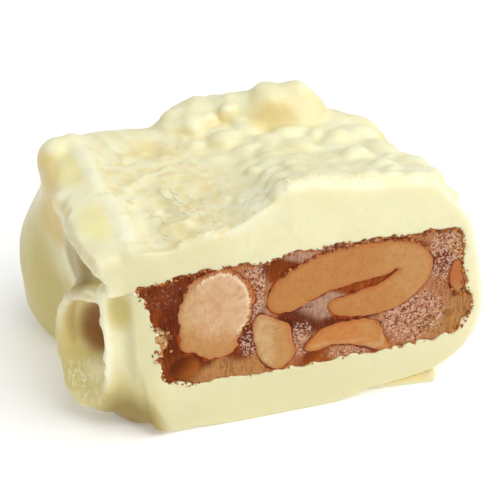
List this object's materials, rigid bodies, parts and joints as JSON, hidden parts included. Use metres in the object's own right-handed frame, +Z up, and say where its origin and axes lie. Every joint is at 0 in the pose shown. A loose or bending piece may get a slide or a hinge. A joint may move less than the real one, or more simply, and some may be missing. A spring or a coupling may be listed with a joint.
{
  "type": "cashew brittle square",
  "caption": "Square of cashew brittle in a lumpy white chocolate coating, cut open across the front to show the brittle and nuts.",
  "frame": {"origin": "centre of the bounding box in plan, on the surface the piece rests on", "axes": "+Z up, the flat cut face looks along -Y, +X runs along the cut face to the right as it is seen"},
  "size_m": [0.0512, 0.0348, 0.0312],
  "materials": {
    "white_chocolate": "satin cream-coloured chocolate",
    "brittle": "glossy amber-brown caramel",
    "cashew": "dull roasted nut flesh"
  },
  "bodies": {
    "root": {"coating": "white_chocolate", "brittle": "brittle", "cashew_round": "cashew", "cashew_hairpin": "cashew", "cashew_small": "cashew", "cashew_crescent": "cashew", "cashew_right": "cashew", "cashew_left": "cashew"}
  },
  "joints": []
}
